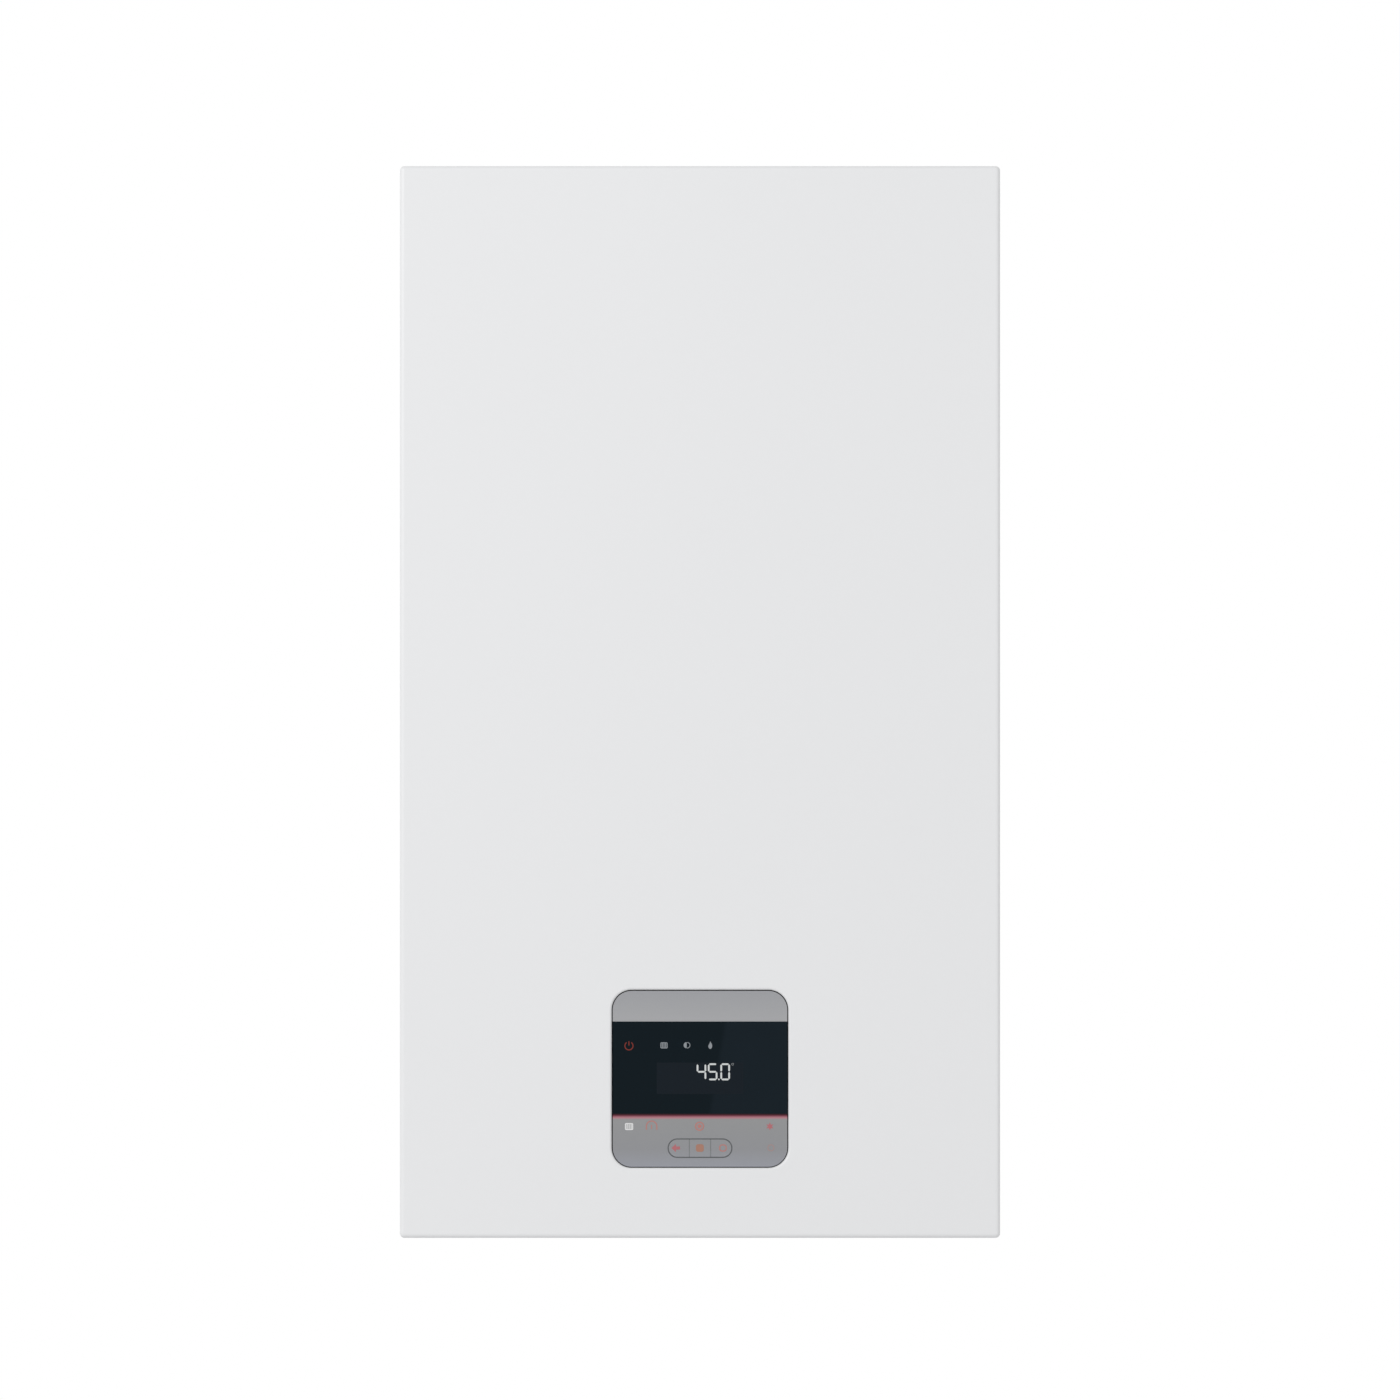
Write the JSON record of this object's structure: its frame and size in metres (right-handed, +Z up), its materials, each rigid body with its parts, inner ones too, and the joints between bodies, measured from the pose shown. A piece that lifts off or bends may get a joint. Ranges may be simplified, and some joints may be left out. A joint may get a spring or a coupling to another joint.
{
  "type": "combi boiler",
  "caption": "Wall-hung condensing combi boiler: lift-off casing with recessed control face, tilting control box, burner cell, fan, gas valve, pump, plate exchanger and pipe connections.",
  "frame": {"origin": "midway between the two wall screws, on the wall plane", "axes": "+X to the right seen from the front, +Y into the wall, +Z up; the front faces -Y"},
  "size_m": [0.392, 0.28, 0.702],
  "materials": {
    "casing_paint": "white powder coat, satin",
    "chassis_steel": "galvanised sheet",
    "seal_foam": "closed-cell foam",
    "gasket_black": "graphite gasket",
    "fastener_zinc": "zinc plated",
    "box_plastic": "fine-grained moulding",
    "board_green": "printed circuit board",
    "fascia_silver": "silver-grey satin lacquer",
    "glass_black": "blue-black gloss window",
    "flue_plastic": "flue-grade polypropylene",
    "cell_steel": "stainless steel",
    "cast_aluminium": "die cast",
    "ceramic_white": "glazed ceramic",
    "motor_black": "black moulding",
    "pipe_copper": "drawn copper",
    "vessel_red": "red stove enamel",
    "vessel_rubber": "butyl sheet",
    "pump_composite": "glass-filled composite",
    "block_brass": "cast brass",
    "plate_steel": "brazed stainless plates",
    "actuator_grey": "grey moulding",
    "knob_red": "red knob",
    "knob_blue": "blue knob",
    "trap_plastic": "natural polypropylene"
  },
  "bodies": {
    "chassis": {"wall_bracket": "chassis_steel", "back_panel": "chassis_steel", "top_panel": "casing_paint", "bottom_panel": "chassis_steel", "left_side_panel": "casing_paint", "right_side_panel": "casing_paint", "front_crossbar": "chassis_steel", "casing_seal": "seal_foam", "panel_screws": "fastener_zinc", "hinge_pins": "fastener_zinc", "flue_collar": "flue_plastic", "flue_pipe": "flue_plastic", "cell_bracket": "chassis_steel", "heat_exchanger_shell": "cell_steel", "heat_exchanger_coil": "cell_steel", "burner_gasket": "gasket_black", "burner_door": "cast_aluminium", "door_nuts": "fastener_zinc", "burner_tube": "cell_steel", "ignition_electrode": "ceramic_white", "mixing_elbow": "cast_aluminium", "fan_housing": "cast_aluminium", "fan_motor": "motor_black", "air_intake": "motor_black", "gas_valve": "cast_aluminium", "gas_pipes": "pipe_copper", "vessel_shells": "vessel_red", "vessel_diaphragm": "vessel_rubber", "pump_housing": "pump_composite", "pump_motor": "motor_black", "return_block": "block_brass", "plate_heat_exchanger": "plate_steel", "flow_block": "block_brass", "diverter_actuator": "actuator_grey", "heating_pipes": "pipe_copper", "water_pipes": "pipe_copper", "pipe_connections": "block_brass", "safety_valve": "block_brass", "filling_tap": "block_brass", "flow_sensor": "motor_black", "condensate_trap": "trap_plastic", "condensate_hose": "trap_plastic", "cable_glands": "motor_black"},
    "front_casing": {"front_casing": "casing_paint", "casing_screws": "fastener_zinc"},
    "control_box": {"control_box": "box_plastic", "control_box_cover": "box_plastic", "circuit_board": "board_green", "fascia_frame": "fascia_silver", "display_glass": "glass_black"},
    "key_left": {"key_left": "fascia_silver"},
    "key_menu": {"key_menu": "fascia_silver"},
    "key_right": {"key_right": "fascia_silver"},
    "fan_rotor": {"fan_rotor": "cast_aluminium"},
    "pump_rotor": {"pump_rotor": "pump_composite"},
    "flow_turbine": {"flow_turbine": "pump_composite"},
    "diverter_stem": {"diverter_stem": "block_brass"},
    "safety_valve_knob": {"safety_valve_knob": "knob_red"},
    "filling_knob": {"filling_knob": "knob_blue"},
    "condensate_cup": {"condensate_cup": "trap_plastic"}
  },
  "joints": [
    {"name": "front_casing_pull_off", "type": "slide", "parent": "chassis", "child": "front_casing", "axis": [0, -1, 0], "range_m": [0, 0.45]},
    {"name": "control_box_tilt", "type": "hinge", "parent": "chassis", "child": "control_box", "pos_m": [0, -0.25, -0.631], "axis": [1, 0, 0], "range_deg": [0, 85]},
    {"name": "key_right_press", "type": "slide", "parent": "control_box", "child": "key_right", "axis": [0, 1, 0], "range_m": [0, 0.0008], "stiffness_N_per_m": 800, "springref_m": -0.0008},
    {"name": "key_menu_press", "type": "slide", "parent": "control_box", "child": "key_menu", "axis": [0, 1, 0], "range_m": [0, 0.0008], "stiffness_N_per_m": 800, "springref_m": -0.0008},
    {"name": "key_left_press", "type": "slide", "parent": "control_box", "child": "key_left", "axis": [0, 1, 0], "range_m": [0, 0.0008], "stiffness_N_per_m": 800, "springref_m": -0.0008},
    {"name": "fan_spin", "type": "hinge", "parent": "chassis", "child": "fan_rotor", "pos_m": [0.12786, -0.15, -0.195], "axis": [0, 0, 1], "continuous": true},
    {"name": "pump_spin", "type": "hinge", "parent": "chassis", "child": "pump_rotor", "pos_m": [0.13, -0.09996, -0.515], "axis": [0, 1, 0], "continuous": true},
    {"name": "flow_turbine_spin", "type": "hinge", "parent": "chassis", "child": "flow_turbine", "pos_m": [0.065, -0.09996, -0.592], "axis": [0, 0, 1], "continuous": true},
    {"name": "diverter_stroke", "type": "slide", "parent": "chassis", "child": "diverter_stem", "axis": [0, 0, 1], "range_m": [0, 0.008]},
    {"name": "safety_valve_turn", "type": "hinge", "parent": "chassis", "child": "safety_valve_knob", "pos_m": [-0.168, -0.09996, -0.518], "axis": [0, 0, 1], "range_deg": [0, 90]},
    {"name": "filling_tap_turn", "type": "hinge", "parent": "chassis", "child": "filling_knob", "pos_m": [0.0955, -0.09996, -0.651], "axis": [0, 0, 1], "range_deg": [0, 270]},
    {"name": "condensate_cup_pull", "type": "slide", "parent": "chassis", "child": "condensate_cup", "axis": [0, 0, -1], "range_m": [0, 0.05]}
  ],
  "couplings": [
    {"joint": "control_box_tilt", "follows": "front_casing_pull_off", "rad_per_m": 3.2966}
  ]
}
